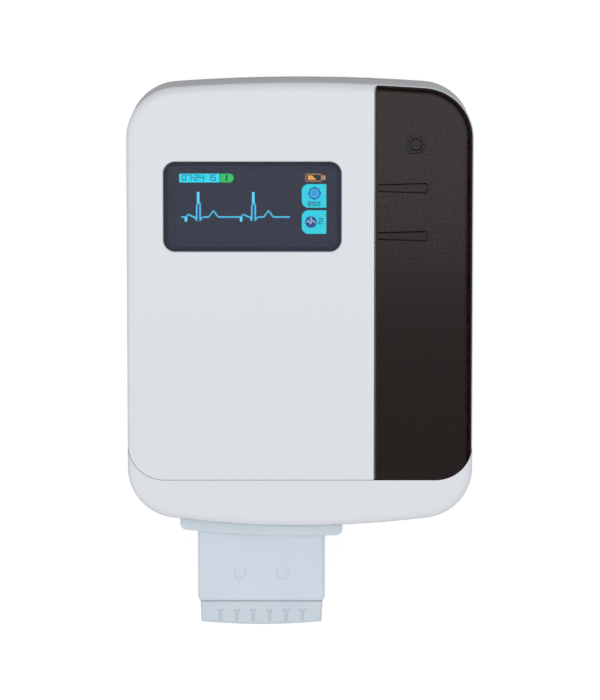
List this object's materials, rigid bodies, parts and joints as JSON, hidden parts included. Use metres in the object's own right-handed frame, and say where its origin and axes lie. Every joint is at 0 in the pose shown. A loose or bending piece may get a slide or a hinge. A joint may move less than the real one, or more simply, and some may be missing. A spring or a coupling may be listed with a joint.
{
  "type": "holter monitor",
  "caption": "Pocket ECG recorder with a rounded case, small display, side keys, a battery door and a pull-out lead plug.",
  "frame": {"origin": "centre of the case's outline on its flat rear face", "axes": "+X to the right seen from the front, +Y towards the case's top end, +Z out of the front face"},
  "size_m": [0.07, 0.1116, 0.0226],
  "materials": {
    "white_shell": "satin moulded ABS and polycarbonate",
    "dark_strip": "fine matt texture",
    "dark_keys": "fine matt texture",
    "smoked_window": "smoked, polished",
    "black_foam": "matt foam",
    "grey_rubber": "silicone rubber",
    "plate_film": "brushed polyester film, bare",
    "screw_steel": "machined",
    "insert_brass": "knurled",
    "cell_steel": "nickel-plated",
    "cell_sleeve": "shrunk film",
    "contact_nickel": "nickel-plated spring sheet",
    "contact_gold": "gold-plated",
    "can_tinned": "tinned sheet",
    "board_green": "solder mask over glass epoxy",
    "chip_black": "moulded epoxy",
    "connector_black": "moulded nylon",
    "capacitor_tan": "ceramic",
    "panel_glass": "black display glass",
    "flex_amber": "polyimide film",
    "plunger_white": "moulded acetal",
    "plug_shell": "satin moulded polycarbonate",
    "plug_flange": "satin moulded elastomer",
    "plug_boot": "moulded elastomer"
  },
  "bodies": {
    "recorder": {"rear_housing": "white_shell", "front_cover": "white_shell", "side_strip": "dark_strip", "display_window": "smoked_window", "window_adhesive": "black_foam", "housing_seal": "grey_rubber", "rating_plate": "plate_film", "housing_screws": "screw_steel", "cover_inserts": "insert_brass", "battery_cell": "cell_steel", "battery_sleeve": "cell_sleeve", "positive_contact": "contact_nickel", "negative_contact": "contact_nickel", "main_board": "board_green", "board_screws": "screw_steel", "analog_board": "board_green", "analog_screws": "screw_steel", "display_pad": "black_foam", "oled_panel": "panel_glass", "display_flex": "flex_amber", "display_connector": "connector_black", "processor_chip": "chip_black", "memory_chips": "chip_black", "motion_sensor": "chip_black", "clock_crystal": "contact_nickel", "chip_capacitors": "capacitor_tan", "card_socket": "contact_nickel", "memory_card": "chip_black", "backup_cell": "cell_steel", "backup_clip": "contact_nickel", "buzzer": "connector_black", "shield_can": "can_tinned", "analog_chips": "chip_black", "header_pins": "contact_gold", "header_base": "connector_black", "header_top": "connector_black", "key_switches": "connector_black", "socket_contacts": "contact_gold", "lead_socket": "connector_black", "socket_gasket": "grey_rubber"},
    "event_key": {"event_button": "dark_keys", "event_plunger": "plunger_white"},
    "upper_key": {"upper_softkey": "dark_keys", "upper_plunger": "plunger_white"},
    "lower_key": {"lower_softkey": "dark_keys", "lower_plunger": "plunger_white"},
    "door": {"battery_door": "white_shell"},
    "lead_plug": {"plug_front_shell": "plug_shell", "plug_rear_shell": "plug_shell", "plug_flange": "plug_flange", "plug_nose": "connector_black", "plug_contacts": "contact_gold", "plug_seal": "grey_rubber", "plug_screws": "screw_steel", "plug_boot": "plug_boot", "lead_clamp": "connector_black", "plug_board": "board_green"}
  },
  "joints": [
    {"name": "event_press", "type": "slide", "parent": "recorder", "child": "event_key", "axis": [0, 0, -1], "range_m": [0, 0.0003], "stiffness_N_per_m": 1500, "springref_m": -0.0008},
    {"name": "upper_key_press", "type": "slide", "parent": "recorder", "child": "upper_key", "axis": [0, 0, -1], "range_m": [0, 0.0003], "stiffness_N_per_m": 1500, "springref_m": -0.0008},
    {"name": "lower_key_press", "type": "slide", "parent": "recorder", "child": "lower_key", "axis": [0, 0, -1], "range_m": [0, 0.0003], "stiffness_N_per_m": 1500, "springref_m": -0.0008},
    {"name": "door_slide", "type": "slide", "parent": "recorder", "child": "door", "axis": [0, -1, 0], "range_m": [0, 0.06]},
    {"name": "plug_pull", "type": "slide", "parent": "recorder", "child": "lead_plug", "axis": [0, -1, 0], "range_m": [0, 0.014]}
  ]
}
